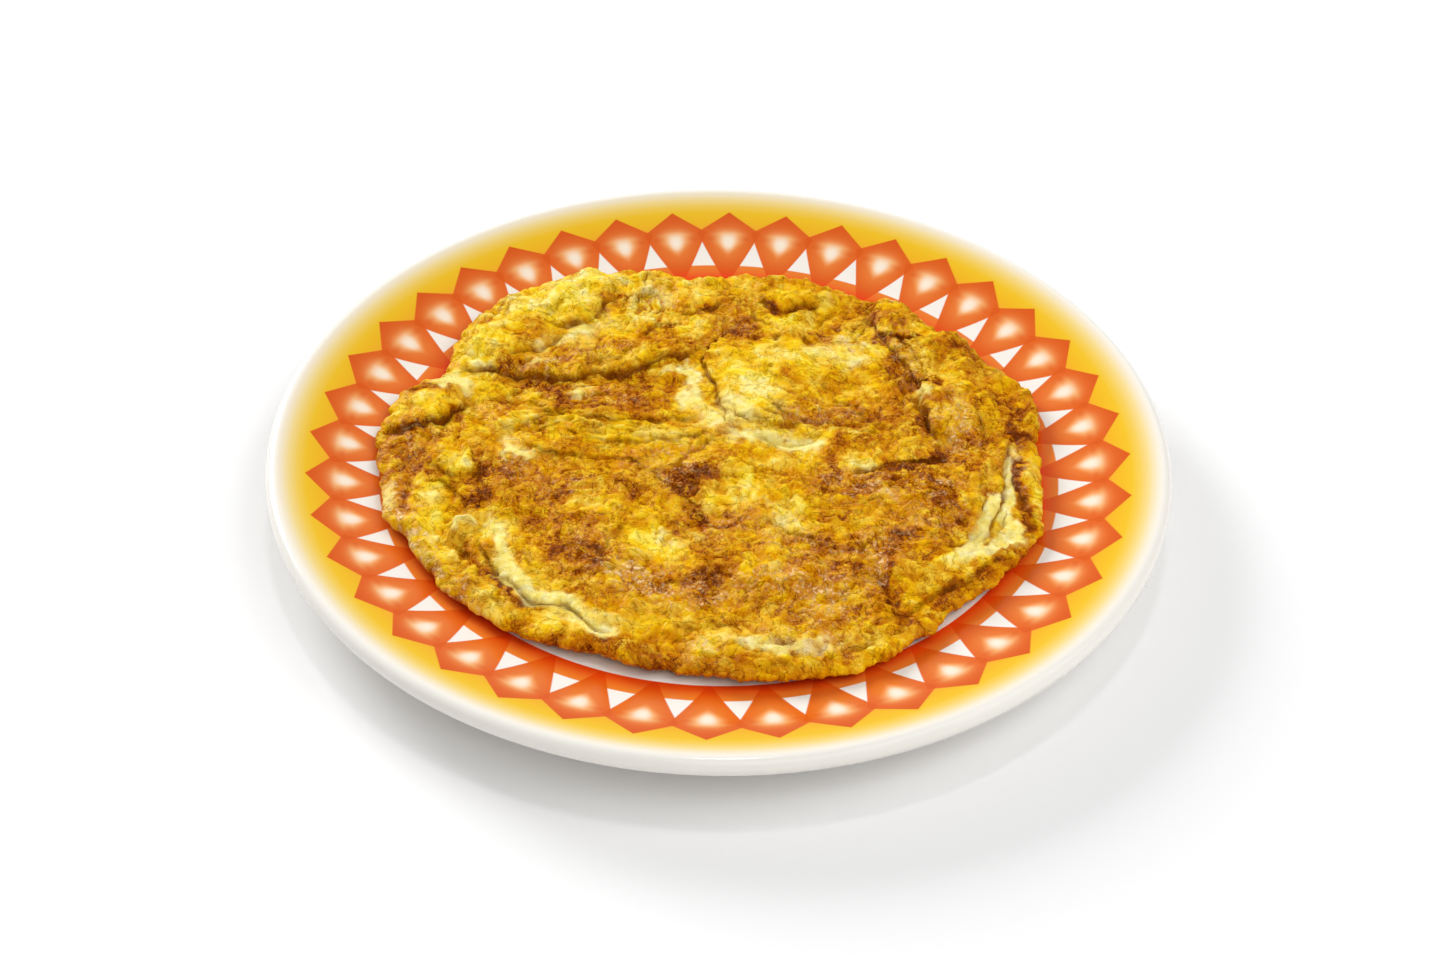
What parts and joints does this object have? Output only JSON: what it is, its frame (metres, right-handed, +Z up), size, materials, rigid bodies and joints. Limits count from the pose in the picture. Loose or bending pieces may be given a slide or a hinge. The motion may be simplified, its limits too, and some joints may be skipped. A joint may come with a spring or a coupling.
{
  "type": "omelette on a plate",
  "caption": "Browned, folded egg omelette lying in the well of a round glazed plate with an orange and yellow patterned rim.",
  "frame": {"origin": "middle of the plate's foot ring, on the surface that the plate stands on", "axes": "+Z up; +X to the right of the plate and +Y to its far side, seen from where the eater sits"},
  "size_m": [0.266, 0.266, 0.0231],
  "materials": {
    "plate_glaze": "glossy white glaze, with a ring of orange kites and a yellow band on the rim",
    "cooked_egg": "fried egg, golden brown and blistered on top, yellow to cream in its folds, with a thin coat of oil"
  },
  "bodies": {
    "root": {"plate": "plate_glaze", "omelette": "cooked_egg"}
  },
  "joints": []
}
